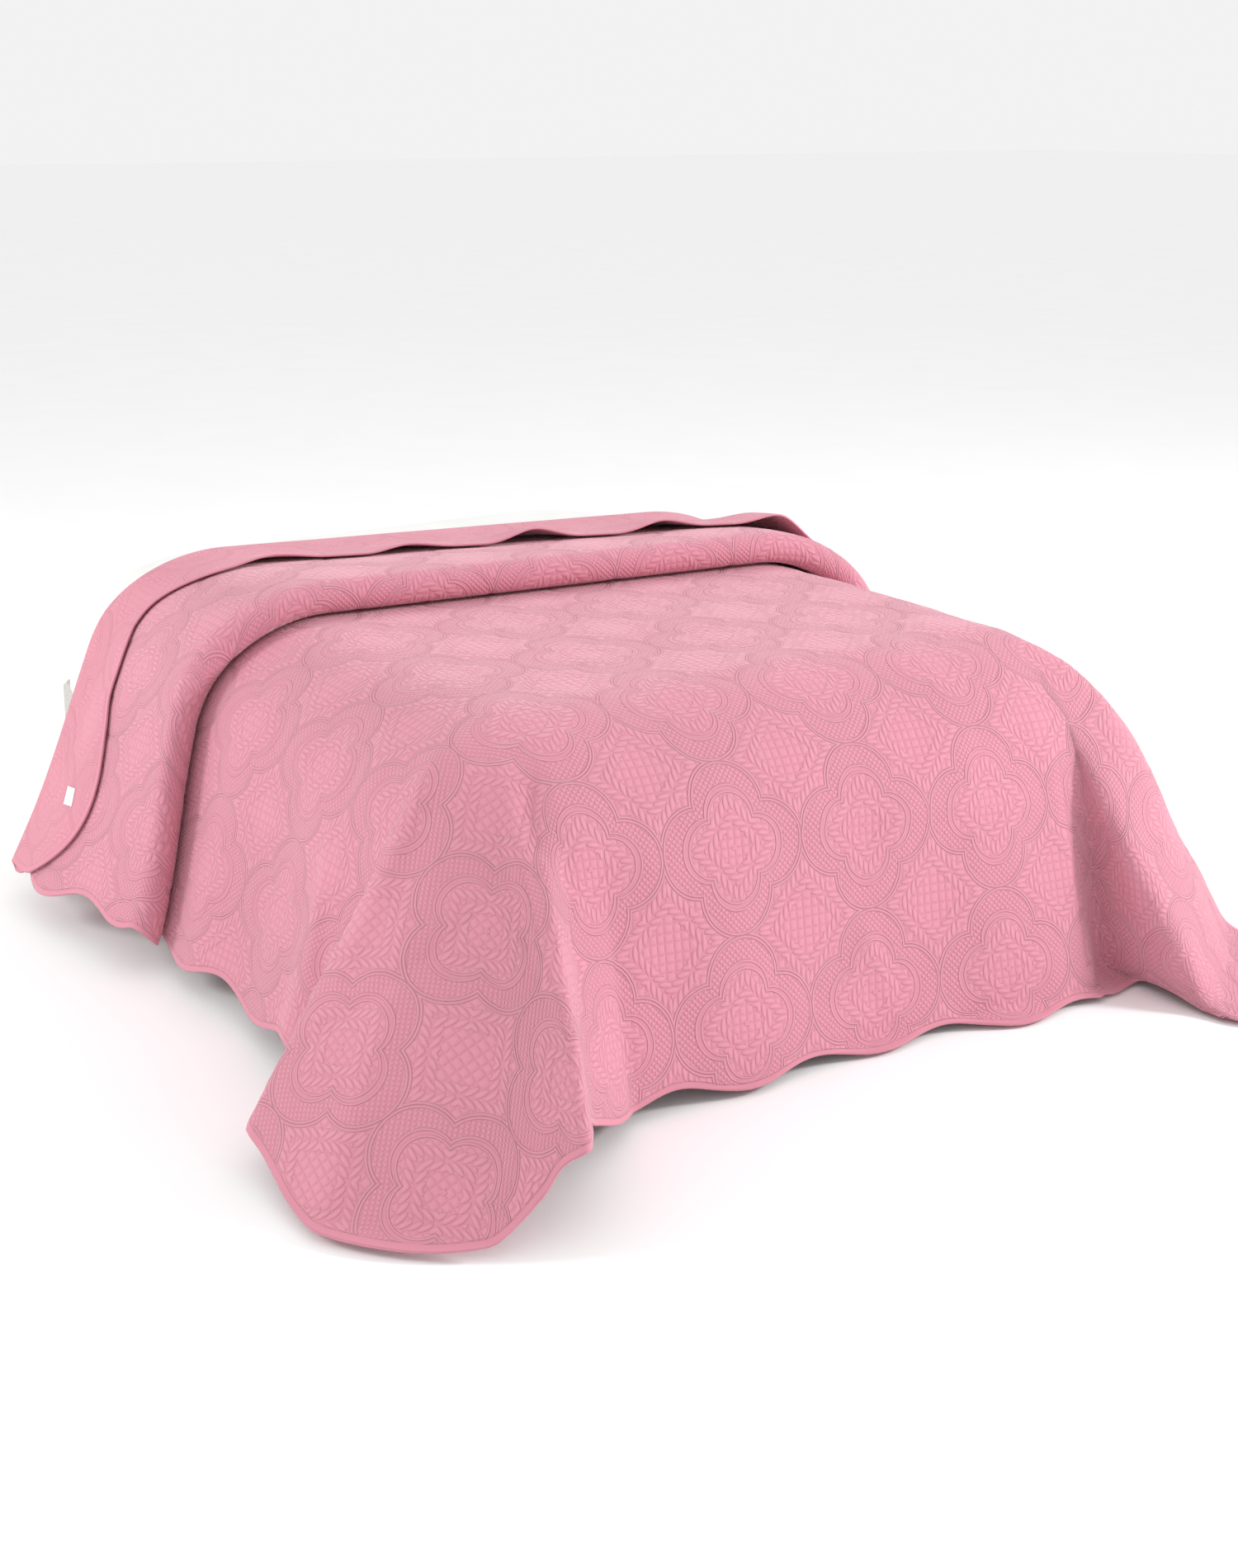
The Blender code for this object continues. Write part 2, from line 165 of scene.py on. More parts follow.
quilt = {
    "width": 2.500,
    "length": 2.700,
    "medallionWidth": 0.280,
    "medallionLength": 0.2915,
    "firstAcross": -2.2,
    "firstAlong": 1.9,
    "latticeAcross": 0.562,
    "latticeAlong": 0.754,
    "scallopDepth": 0.030,
    "scallopBand": 0.120,
    "scallopStart": 0.340,
    "scallopEase": 0.100,
    "hemCorner": 0.300,
    "cornerZone": 0.400,
    "thickness": 0.0040,
    "bindingWidth": 0.0115,
    "bindingGroove": 0.15,
    "bindingGrooveHalf": 0.002,
    "relief": 0.0012,
    "reliefEase": 0.05,
    "reliefFromHem": 0.03,
    "swell": 0.0010,
    "unevenWide": 0.0032,
    "unevenWideSize": 0.120,
    "unevenFine": 0.0014,
    "unevenFineSize": 0.045,
    "calmBeforeRoll": 0.21,
    "calmEase": 0.15,
    "calmShare": 0.08,
    "creaseEnds": 0.3,
    "rise": 0.615,
    "floorRest": 0.006,
    "floorBend": 0.025,
    "sideStart": 0.490,
    "footStart": -0.728,
    "edgeRadius": 0.290,
    "leftFlare": 17.0,
    "rightFlare": 17.0,
    "footFlare": 12.0,
    "footFlareRight": 19.0,
    "footFlareStart": 0.10,
    "skew": radians(-3.2),
    "skewEnd": -0.25,
    "nearSoftness": 0.8,
    "farSoftness": 4.0,
    "gatherReach": 0.60,
    "foldStart": 0.15,
    "foldEase": 0.45,
    "rollPlace": -0.046,
    "rollSlope": -0.090,
    "backPlace": 0.412,
    "backSlope": -0.170,
    "pleatDepth": 0.170,
    "pleatRadius": 0.0065,
    "rollRadius": 0.030,
    "bandRise": 0.034,
    "backRadius": 0.0090,
    "flapRise": 0.0106,
    "flapLength": 0.300,
    "flapRiseEase": 0.12,
    "liftStart": 0.10,
    "liftEase": 0.14,
    "slopeReach": 0.780,
    "turnedSlide": -0.075,
    "slideStart": 1.600,
    "slideEase": 0.320,
    "hangSwing": -0.105,
    "swingStart": 0.700,
    "swingEase": 0.550,
    "headFlare": 28.0,
    "headFlareStart": -0.200,
    "headFlareEase": 0.500,
    "columns": 200,
    "hemColumns": (0.0, 0.0035, 0.0080, 0.0110, 0.0150),
    "cornerRows": 28,
    "cornerRowPower": 1.25,
    "partRows": (96, 6, 4, 14, 38, 8, 30),
    "faceColour": "D891A1",
    # each groove colour is a darker painted shade for the low stitched parts of the quilting, on the face and
    # on the back
    "faceGrooveShade": "D2899A",
    "faceSheen": 0.46,
    "backColour": "D68F9E",
    "backGrooveShade": "D28B9A",
    "backSheen": 0.22,
    "backPuff": 0.6,
}
# where the lattice of medallions starts, seen from the near corner of the bed
latticeX = -quilt["sideStart"] - quilt["latticeAcross"] * quilt["medallionWidth"]
latticeY = quilt["footStart"] - quilt["latticeAlong"] * quilt["medallionWidth"]

# turn on the cloth, heading on the floor, flare from upright (degrees), bend radius (metres)
nearCornerRays = (
    (0.0, 0.0, 17.0, 0.290),
    (10.0, 13.0, 16.0, 0.300),
    (20.5, 14.0, 38.0, 0.310),
    (35.0, 35.0, 43.0, 0.290),
    (51.0, 57.0, 44.0, 0.290),
    (66.0, 69.0, 50.0, 0.290),
    (78.0, 74.0, 30.0, 0.300),
    (90.0, 90.0, 12.0, 0.290),
)
farCornerRays = (
    (0.0, 0.0, 17.0, 0.290),
    (12.0, 14.0, 22.0, 0.310),
    (20.0, 21.0, 37.0, 0.300),
    (48.0, 54.0, 25.0, 0.430),
    (65.5, 80.0, 38.0, 0.290),
    (80.5, 73.0, 8.0, 0.290),
    (90.0, 90.0, 19.0, 0.290),
)

# lifts of the flap's free edge: place across, height, half width
flapLifts = (
    (-0.460, 0.014, 0.050),
    (-0.190, 0.012, 0.050),
    (0.070, 0.024, 0.055),
    (0.350, 0.020, 0.055),
    (0.620, 0.030, 0.060),
)

# folds of the hanging sides: place along the edge, outward reach, half width
leftFolds = ((-0.640, 0.012, 0.035), (-0.420, -0.012, 0.080), (-0.200, 0.010, 0.060), (0.300, 0.012, 0.080))
rightFolds = ((-0.480, 0.022, 0.090), (-0.160, -0.014, 0.080), (0.160, 0.018, 0.090))
footFolds = ((-0.250, 0.006, 0.080), (0.020, -0.005, 0.070), (0.300, 0.006, 0.080))


def smoothStep(value):
    t = np.clip(value, 0.0, 1.0)
    return t * t * (3.0 - 2.0 * t)


def bell(distance, halfWidth):
    return smoothStep(1.0 - np.abs(distance) / (2.0 * halfWidth))


def hang(reach, radius, flareDegrees, lift, spread=0.0):
    # outward and downward travel of cloth that bends over an edge, hangs at a flare and meets the floor
    radius = radius + lift
    bend = pi / 2 - np.radians(flareDegrees)
    turn = np.minimum(reach / radius, bend)
    rest = np.maximum(reach - radius * bend, 0.0)
    outward = np.where(reach <= 0.0, reach, radius * np.sin(turn) + rest * np.cos(bend))
    downward = np.where(reach <= 0.0, 0.0, radius * (1.0 - np.cos(turn)) + rest * np.sin(bend))
    outward = outward + spread
    limit = quilt["rise"] + lift - quilt["floorRest"] - quilt["floorBend"]
    over = np.maximum(downward - limit, 0.0)
    settled = quilt["floorBend"] * (1.0 - np.exp(-over / quilt["floorBend"]))
    return outward + over - settled, np.minimum(downward, limit) + settled


def cornerPoint(rays, softness, reach, turn, lift):
    turns = np.array([row[0] for row in rays])
    points = []
    for ownTurn, floorHeading, flare, radius in rays:
        outward, downward = hang(reach, radius, flare, lift)
        # a ray leaves the corner straight and reaches its floor heading lower down
        heading = np.radians(ownTurn + (floorHeading - ownTurn) * smoothStep(reach / quilt["gatherReach"]))
        points.append(np.stack((outward * np.cos(heading), outward * np.sin(heading), downward), -1))
    points = np.stack(points)
    # the mean of a few turns close by rounds the ridges
    steps = (-1.0, -0.5, 0.0, 0.5, 1.0)
    total = 0.0
    pick = np.arange(len(reach))
    for step in steps:
        place = np.clip(turn + step * softness, 0.0, 90.0)
        index = np.clip(np.searchsorted(turns, place, side="right") - 1, 0, len(turns) - 2)
        share = ((place - turns[index]) / (turns[index + 1] - turns[index]))[:, None]
        total = total + points[index, pick] * (1.0 - share) + points[index + 1, pick] * share
    return total / len(steps)


def foldReach(folds, place, reach):
    depth = smoothStep((reach - quilt["foldStart"]) / quilt["foldEase"])
    return depth * sum(height * bell(place - centre, half) for centre, height, half in folds)


def layOverBed(across, along, lift):
    left = -quilt["sideStart"] - across
    right = across - quilt["sideStart"]
    foot = quilt["footStart"] - along
    top = quilt["rise"] + lift
    x = across.copy()
    y = along.copy()
    z = top.copy()

    m = (foot <= 0.0) & (left > 0.0)
    radius = quilt["edgeRadius"]
    atHead = smoothStep((along[m] - quilt["headFlareStart"]) / quilt["headFlareEase"])
    flare = quilt["leftFlare"] + (quilt["headFlare"] - quilt["leftFlare"]) * atHead
    outward, downward = hang(left[m], radius, flare, lift[m], foldReach(leftFolds, along[m], left[m]))
    x[m] = -quilt["sideStart"] - outward
    z[m] = top[m] - downward

    m = (foot <= 0.0) & (right > 0.0)
    spread = foldReach(rightFolds, along[m], right[m])
    outward, downward = hang(right[m], radius, quilt["rightFlare"], lift[m], spread)
    x[m] = quilt["sideStart"] + outward
    z[m] = top[m] - downward

    m = (foot > 0.0) & (left <= 0.0) & (right <= 0.0)
    span = quilt["sideStart"] - quilt["footFlareStart"]
    widening = smoothStep((across[m] - quilt["footFlareStart"]) / span)
    flare = quilt["footFlare"] + (quilt["footFlareRight"] - quilt["footFlare"]) * widening
    outward, downward = hang(foot[m], radius, flare, lift[m], foldReach(footFolds, across[m], foot[m]))
    y[m] = quilt["footStart"] - outward
    z[m] = top[m] - downward

    corners = ((nearCornerRays, quilt["nearSoftness"], left, -1.0),
               (farCornerRays, quilt["farSoftness"], right, 1.0))
    for rays, softness, side, sign in corners:
        m = (foot > 0.0) & (side > 0.0)
        turn = np.degrees(np.arctan2(foot[m], side[m]))
        spread = cornerPoint(rays, softness, np.hypot(side[m], foot[m]), turn, lift[m])
        x[m] = sign * (quilt["sideStart"] + spread[:, 0])
        y[m] = quilt["footStart"] - spread[:, 1]
        z[m] = top[m] - spread[:, 2]
    return np.stack((x, y, z), -1)


def foldLine(level, slope, across):
    # the folds swing towards the foot where they hang at the left
    swing = quilt["hangSwing"] * smoothStep((-across - quilt["swingStart"]) / quilt["swingEase"])
    return level + slope * np.clip(across, -quilt["slopeReach"], quilt["slopeReach"]) + swing


def bandHeight(along, roll, back):
    share = smoothStep((along - roll) / (back - roll))
    rollTop = 2.0 * quilt["pleatRadius"] + 2.0 * quilt["rollRadius"]
    return rollTop + (quilt["bandRise"] - rollTop) * share


def foldLengths(across):
    roll = foldLine(quilt["rollPlace"], quilt["rollSlope"], across)
    back = foldLine(quilt["backPlace"], quilt["backSlope"], across)
    pleatStart = roll + quilt["pleatDepth"]
    underStart = pleatStart + pi * quilt["pleatRadius"]
    rollStart = underStart + quilt["pleatDepth"]
    bandStart = rollStart + pi * quilt["rollRadius"]
    backStart = bandStart + back - roll
    flapStart = backStart + pi * quilt["backRadius"]
    return roll, back, pleatStart, underStart, rollStart, bandStart, backStart, flapStart


def section(across, length):
    # place along the bed and height above the lowest layer, for an unfolded length
    roll, back, pleat, under, rollStart, band, backStart, flap = foldLengths(across)
    small, big, turnBack = quilt["pleatRadius"], quilt["rollRadius"], quilt["backRadius"]
    pleatTurn = (length - pleat) / small
    rollTurn = (length - rollStart) / big
    backTurn = (length - backStart) / turnBack
    travel = length - flap
    onBand = roll + length - band
    onFlap = back - travel
    settling = smoothStep(travel / quilt["flapRiseEase"])
    clearance = 2.0 * turnBack + (quilt["flapRise"] - 2.0 * turnBack) * settling
    rising = smoothStep((travel - quilt["liftStart"]) / quilt["liftEase"])
    lifts = sum(height * bell(across - centre, half) for centre, height, half in flapLifts)
    stages = [length <= pleat, length <= under, length <= rollStart, length <= band,
              length <= backStart, length <= flap]
    along = np.select(stages, [
        length, pleat + small * np.sin(pleatTurn), pleat - (length - under),
        roll - big * np.sin(rollTurn), onBand, back + turnBack * np.sin(backTurn)], onFlap)
    lift = np.select(stages, [
        0.0 * length, small * (1.0 - np.cos(pleatTurn)), 2.0 * small + 0.0 * length,
        2.0 * small + big * (1.0 - np.cos(rollTurn)), bandHeight(onBand, roll, back),
        quilt["bandRise"] + turnBack * (1.0 - np.cos(backTurn))],
        bandHeight(onFlap, roll, back) + clearance + rising * lifts)
    return along, lift


def slide(lengthPlace):
    # the turned back end lies further to the left than the rest
    return quilt["turnedSlide"] * smoothStep((lengthPlace - quilt["slideStart"]) / quilt["slideEase"])


def clothPoint(widthPlace, lengthPlace):
    column = quilt["firstAcross"] * quilt["medallionWidth"] + widthPlace
    row = quilt["firstAlong"] * quilt["medallionLength"] - lengthPlace
    skew = quilt["skew"]
    across = latticeX + column * cos(skew) + np.maximum(row, quilt["skewEnd"]) * sin(skew)
    across = across + slide(lengthPlace)
    unfolded = latticeY - (row * cos(skew) - column * sin(skew))
    along, lift = section(across, unfolded)
    return layOverBed(across, along, lift)


def clothNormal(widthPlace, lengthPlace):
    step = 0.0015
    side = clothPoint(widthPlace + step, lengthPlace) - clothPoint(widthPlace - step, lengthPlace)
    rise = clothPoint(widthPlace, lengthPlace + step) - clothPoint(widthPlace, lengthPlace - step)
    normal = np.cross(side, rise)
    return normal / np.maximum(np.linalg.norm(normal, axis=-1, keepdims=True), 1e-12)


def scallop(place, fromCorner):
    calm = smoothStep((fromCorner - quilt["scallopStart"]) / quilt["scallopEase"])
    return calm * quilt["scallopDepth"] * (0.5 + 0.5 * np.cos(2.0 * pi * place))


def cornerInset(distance):
    radius = quilt["hemCorner"]
    short = radius - np.clip(distance, 0.0, radius)
    return radius - np.sqrt(radius ** 2 - short ** 2)


def outlinePlace(share, lengthPlace):
    # place across the cloth for a share from hem to hem, with and without the scallops
    ends = np.minimum(lengthPlace, quilt["length"] - lengthPlace)
    inset = cornerInset(ends)
    plain = share * quilt["width"]
    squeeze = np.maximum(1.0 - np.minimum(plain, quilt["width"] - plain) / quilt["cornerZone"], 0.0)
    place = plain + inset * squeeze * np.where(share < 0.5, 1.0, -1.0)
    wave = scallop(quilt["firstAlong"] - lengthPlace / quilt["medallionLength"], ends)
    leftFall = smoothStep(1.0 - (place - inset) / quilt["scallopBand"])
    rightFall = smoothStep(1.0 - (quilt["width"] - inset - place) / quilt["scallopBand"])
    return place + wave * (leftFall - rightFall), place


def hemShift(widthPlace, lengthPlace):
    sides = np.minimum(widthPlace, quilt["width"] - widthPlace)
    wave = scallop(quilt["firstAcross"] + widthPlace / quilt["medallionWidth"], sides)
    footFall = smoothStep(1.0 - lengthPlace / quilt["scallopBand"])
    headFall = smoothStep(1.0 - (quilt["length"] - lengthPlace) / quilt["scallopBand"])
    return wave * (footFall - headFall)


def columnShares():
    # columns of the grid: those close to both side hems follow the hem's binding
    hem = list(quilt["hemColumns"])
    width = quilt["width"]
    first, last = hem[-1], width - hem[-1]
    inner = [first + (last - first) * i / quilt["columns"] for i in range(1, quilt["columns"])]
    return np.array(hem + inner + [width - place for place in hem[::-1]]) / width


def rowShares():
    # rows of the grid: the part of the cloth, and the share of that part's length
    count = quilt["cornerRows"]
    hem = [place / quilt["hemCorner"] for place in quilt["hemColumns"]]
    rows = [(0, place) for place in hem]
    power = quilt["cornerRowPower"]
    rows += [(0, hem[-1] + (1.0 - hem[-1]) * (i / count) ** power) for i in range(1, count)]
    for part, number in enumerate(quilt["partRows"][:-1], start=1):
        rows += [(part, i / number) for i in range(number)]
    flap, last = len(quilt["partRows"]), quilt["partRows"][-1]
    tail = [1.0 - place / quilt["flapLength"] for place in quilt["hemColumns"]]
    rows += [(flap, tail[-1] * sin(0.5 * pi * i / last)) for i in range(last)]
    rows += [(flap, place) for place in tail[::-1]]
    return rows


def rowPlace(part, share, widthPlace):
    # place along the cloth: each part ends at a fold, and the folds lie askew
    column = quilt["firstAcross"] * quilt["medallionWidth"] + widthPlace
    skew = quilt["skew"]
    across = latticeX + column * cos(skew) + quilt["skewEnd"] * sin(skew)
    hemRow = quilt["firstAlong"] * quilt["medallionLength"]
    start = latticeY - (hemRow * cos(skew) - column * sin(skew))
    stops = [0.0 * column, quilt["hemCorner"] + 0.0 * column]
    for index, stop in enumerate(foldLengths(across)[2:], start=2):
        moved = across + slide((stop - start) / cos(skew))
        stops.append((foldLengths(moved)[index] - start) / cos(skew))
    stops.append(quilt["length"] + 0.0 * column)
    return stops[part] + share * (stops[part + 1] - stops[part])


def flatGrid():
    # flat places of the grid, and how far each is from the hem
    shares = columnShares()
    widths, lengths, hems = [], [], []
    for part, rowShare in rowShares():
        place = shares * quilt["width"]
        # place across and place along depend on each other, and agree after a few rounds
        for _ in range(4):
            lengthPlace = rowPlace(part, rowShare, place)
            place, plain = outlinePlace(shares, lengthPlace)
        radius = quilt["hemCorner"]
        fromSide = np.minimum(plain, quilt["width"] - plain)
        fromEnd = np.minimum(lengthPlace, quilt["length"] - lengthPlace)
        inCorner = (fromSide < radius) & (fromEnd < radius)
        rounded = radius - np.hypot(radius - fromSide, radius - fromEnd)
        hems.append(np.where(inCorner, rounded, np.minimum(fromSide, fromEnd)))
        widths.append(place)
        lengths.append(lengthPlace + hemShift(place, lengthPlace))
    return np.array(widths), np.array(lengths), np.maximum(np.array(hems), 0.0)


def medallionPlace(widthPlace, lengthPlace):
    column = quilt["firstAcross"] + widthPlace / quilt["medallionWidth"]
    row = quilt["firstAlong"] - lengthPlace / quilt["medallionLength"]
    return column, row


# creases left from folding and lying: path on the flat cloth, height, half width
creases = (
    (((0.050, 0.462), (0.158, 0.459), (0.291, 0.439), (0.409, 0.430), (0.580, 0.456)), -0.0045, 0.011),
    (((0.640, 0.930), (0.592, 0.918), (0.429, 0.859), (0.257, 0.810), (0.100, 0.750)), -0.0030, 0.011),
    (((0.900, 0.450), (1.144, 0.430), (1.415, 0.420), (1.701, 0.400), (1.967, 0.420)), 0.0030, 0.012),
    (((0.715, 0.600), (0.665, 0.530), (0.630, 0.430)), -0.0095, 0.016),
    (((0.676, 0.680), (0.650, 0.600), (0.600, 0.470), (0.545, 0.300), (0.520, 0.100)), 0.0060, 0.012),
    (((0.570, 0.730), (0.515, 0.660), (0.400, 0.585), (0.200, 0.480)), 0.0060, 0.013),
    (((1.420, 0.110), (1.450, 0.129), (1.588, 0.183), (1.640, 0.220)), 0.0045, 0.016),
    (((1.290, 0.260), (1.302, 0.222), (1.346, 0.099), (1.360, 0.060)), 0.0040, 0.018),
)


def creaseHeight(widthPlace, lengthPlace):
    total = 0.0 * widthPlace
    for path, height, half in creases:
        nearest = np.full_like(total, 9.0)
        run = 0.0 * total
        travelled = 0.0
        for start, end in zip(path, path[1:]):
            spanX, spanY = end[0] - start[0], end[1] - start[1]
            span = np.hypot(spanX, spanY)
            share = ((widthPlace - start[0]) * spanX + (lengthPlace - start[1]) * spanY) / span ** 2
            share = np.clip(share, 0.0, 1.0)
            gap = np.hypot(widthPlace - start[0] - share * spanX, lengthPlace - start[1] - share * spanY)
            run = np.where(gap < nearest, travelled + share * span, run)
            nearest = np.minimum(nearest, gap)
            travelled += span
        fade = quilt["creaseEnds"] * travelled
        ends = smoothStep(run / fade) * smoothStep((travelled - run) / fade)
        total = total + height * bell(nearest, half) * ends
    return total


def softNoise(widthPlace, lengthPlace, size, seed):
    places = zip(widthPlace / size, lengthPlace / size)
    return np.array([noise.noise(Vector((x, y, seed))) for x, y in places])


def swell(widthPlace, lengthPlace):
    # how far the cloth stands out of its plain lay: creases, and the unevenness of washed cloth
    beforeRoll = rowPlace(2, 0.0, widthPlace) - quilt["calmBeforeRoll"] - lengthPlace
    plain = smoothStep(beforeRoll / quilt["calmEase"])
    uneven = quilt["unevenWide"] * softNoise(widthPlace, lengthPlace, quilt["unevenWideSize"], 3.7)
    uneven = uneven + quilt["unevenFine"] * softNoise(widthPlace, lengthPlace, quilt["unevenFineSize"], 8.2)
    share = quilt["calmShare"] + (1.0 - quilt["calmShare"]) * plain
    return creaseHeight(widthPlace, lengthPlace) + (quilt["swell"] + uneven) * share


def quiltingRelief(widthPlace, lengthPlace):
    # raised fields of the four lobed medallions, low along the stitched outlines
    column, row = medallionPlace(widthPlace, lengthPlace)
    x = np.abs(column % 1.0 - 0.5)
    y = np.abs(row % 1.0 - 0.5)
    lobe = stitching["lobe"]
    outline = np.abs(np.hypot(np.maximum(x, y) - lobe, np.minimum(x, y)) - lobe)
    return quilt["relief"] * smoothStep(outline / quilt["reliefEase"])


# matelasse quilting: stitched in double cords, leaf sprigs and small squares
# sizes in medallions of 280 mm: a cord is 5 mm wide, a leaf 13 mm, a small square 15 mm
stitching = {
    "lobe": 0.25,
    "cordAside": 0.0095,
    "cordHalf": 0.0090,
    "innerOutline": 0.71,
    "coreOutline": 0.63,
    "hatch": 0.0396,
    "hatchHeight": 0.80,
    "grid": 0.052,
    "gridPower": 0.6,
    "gridHeight": 0.70,
    "innerSprig": 0.225,
    "outerSprig": 0.710,
    "leafPitch": 0.054,
    "leafMiddle": 0.033,
    "leafReach": 0.031,
    "leafHalf": 0.44,
    "leafLean": 0.9,
    "innerMargin": 0.010,
    "outerMargin": 0.020,
    "seam": 0.36,
    "puff": 0.0031,
}



def outlineSteps(name, size):
    # distance outside a four lobed outline
    return (
        (name + "Aside", "SUBTRACT", "far", size),
        (name + "Square", "MULTIPLY_ADD", name + "Aside", name + "Aside", "nearSquare"),
        (name + "Span", "SQRT", name + "Square"),
        (name, "SUBTRACT", name + "Span", size),
    )


# steps that turn the flat place of the cloth into the height of its quilting: name, operation, inputs
heightSteps = (
    ("acrossShare", "FRACT", "across"),
    ("acrossAway", "SUBTRACT", "acrossShare", 0.5),
    ("x", "ABSOLUTE", "acrossAway"),
    ("alongShare", "FRACT", "along"),
    ("alongAway", "SUBTRACT", "alongShare", 0.5),
    ("y", "ABSOLUTE", "alongAway"),
    ("far", "MAXIMUM", "x", "y"),
    ("near", "MINIMUM", "x", "y"),
    ("reach", "ADD", "x", "y"),
    ("slant", "SUBTRACT", "x", "y"),
    ("nearSquare", "MULTIPLY", "near", "near"),
    # three outlines, one in the other
    *outlineSteps("outer", stitching["lobe"]),
    *outlineSteps("inner", stitching["lobe"] * stitching["innerOutline"]),
    *outlineSteps("core", stitching["lobe"] * stitching["coreOutline"]),
    # round cords: two beside the outer outline, one on each of the others
    ("outerGap", "ABSOLUTE", "outer"),
    ("outerPair", "SUBTRACT", "outerGap", stitching["cordAside"]),
    ("outerAway", "ABSOLUTE", "outerPair"),
    ("innerAway", "ABSOLUTE", "inner"),
    ("coreAway", "ABSOLUTE", "core"),
    ("twoAway", "MINIMUM", "innerAway", "coreAway"),
    ("cordAway", "MINIMUM", "outerAway", "twoAway"),
    ("cordShare", "DIVIDE", "cordAway", stitching["cordHalf"]),
    ("cordSquare", "MULTIPLY", "cordShare", "cordShare"),
    ("cordRound", "SUBTRACT", 1.0, "cordSquare"),
    ("cordOver", "MAXIMUM", "cordRound", 0.0),
    ("cord", "SQRT", "cordOver"),
    # fine hatch between the outlines
    ("hatchOne", "MULTIPLY", "reach", pi / stitching["hatch"]),
    ("hatchTwo", "MULTIPLY", "slant", pi / stitching["hatch"]),
    ("waveOne", "SINE", "hatchOne"),
    ("waveTwo", "SINE", "hatchTwo"),
    ("hatchWave", "MULTIPLY", "waveOne", "waveTwo"),
    ("hatch", "ABSOLUTE", "hatchWave"),
    # small puffed squares
    ("gridOne", "MULTIPLY", "x", pi / stitching["grid"]),
    ("gridTwo", "MULTIPLY", "y", pi / stitching["grid"]),
    ("squareOne", "SINE", "gridOne"),
    ("squareTwo", "SINE", "gridTwo"),
    ("gridWave", "MULTIPLY", "squareOne", "squareTwo"),
    ("gridHeight", "ABSOLUTE", "gridWave"),
    ("grid", "POWER", "gridHeight", stitching["gridPower"]),
    # pairs of leaves that lean along two diamonds
    ("toInner", "SUBTRACT", "reach", stitching["innerSprig"]),
    ("toOuter", "SUBTRACT", "reach", stitching["outerSprig"]),
    ("innerStem", "ABSOLUTE", "toInner"),
    ("outerStem", "ABSOLUTE", "toOuter"),
    ("stemReach", "MINIMUM", "innerStem", "outerStem"),
    ("stem", "MULTIPLY", "stemReach", sin(pi / 4)),
    ("slantReach", "ABSOLUTE", "slant"),
    ("run", "MULTIPLY", "slantReach", sin(pi / 4) / stitching["leafPitch"]),
    ("lean", "MULTIPLY_ADD", "stem", -stitching["leafLean"] / stitching["leafPitch"], "run"),
    ("leafShare", "FRACT", "lean"),
    ("leafAway", "SUBTRACT", "leafShare", 0.5),
    ("leafWide", "DIVIDE", "leafAway", stitching["leafHalf"]),
    ("leafLevel", "SUBTRACT", "stem", stitching["leafMiddle"]),
    ("leafLong", "DIVIDE", "leafLevel", stitching["leafReach"]),
    ("leafWideSquare", "MULTIPLY", "leafWide", "leafWide"),
    ("leafSquare", "MULTIPLY_ADD", "leafLong", "leafLong", "leafWideSquare"),
    ("leafRound", "SUBTRACT", 1.0, "leafSquare"),
    ("leafOver", "MAXIMUM", "leafRound", 0.0),
    ("leaf", "SQRT", "leafOver"),
    # where each filling lies
    ("pastLeaves", "GREATER_THAN", "stem", stitching["leafMiddle"] + stitching["leafReach"]),
    ("squares", "MULTIPLY", "grid", "pastLeaves"),
    ("filling", "MULTIPLY_ADD", "squares", stitching["gridHeight"], "leaf"),
    ("insideCore", "LESS_THAN", "core", -stitching["innerMargin"]),
    ("outsideOuter", "GREATER_THAN", "outer", stitching["outerMargin"]),
    ("filled", "MAXIMUM", "insideCore", "outsideOuter"),
    ("fillHeight", "MULTIPLY", "filling", "filled"),
    ("outsideInner", "GREATER_THAN", "inner", stitching["innerMargin"]),
    ("insideOuter", "LESS_THAN", "outer", -stitching["outerMargin"]),
    ("hatched", "MULTIPLY", "outsideInner", "insideOuter"),
    ("hatchHeight", "MULTIPLY", "hatched", "hatch"),
    ("field", "MULTIPLY_ADD", "hatchHeight", stitching["hatchHeight"], "fillHeight"),
    # the cords stand on the field, and only shallow seams run beside them
    ("seamed", "MULTIPLY_ADD", "field", 1.0 - stitching["seam"], stitching["seam"]),
    ("height", "MAXIMUM", "seamed", "cord"),
)


def stitchedHeight(tree):
    # from 0 in a stitched line to 1 on a cord or leaf
    flat = addNode(tree, "UVMap", uv_map="medallions")
    parts = addNode(tree, "SeparateXYZ", (flat,))
    values = {"across": parts.outputs[0], "along": parts.outputs[1]}
    for name, operation, *inputs in heightSteps:
        values[name] = addNode(tree, "Math", [values.get(item, item) for item in inputs], operation=operation)
    return values["height"]


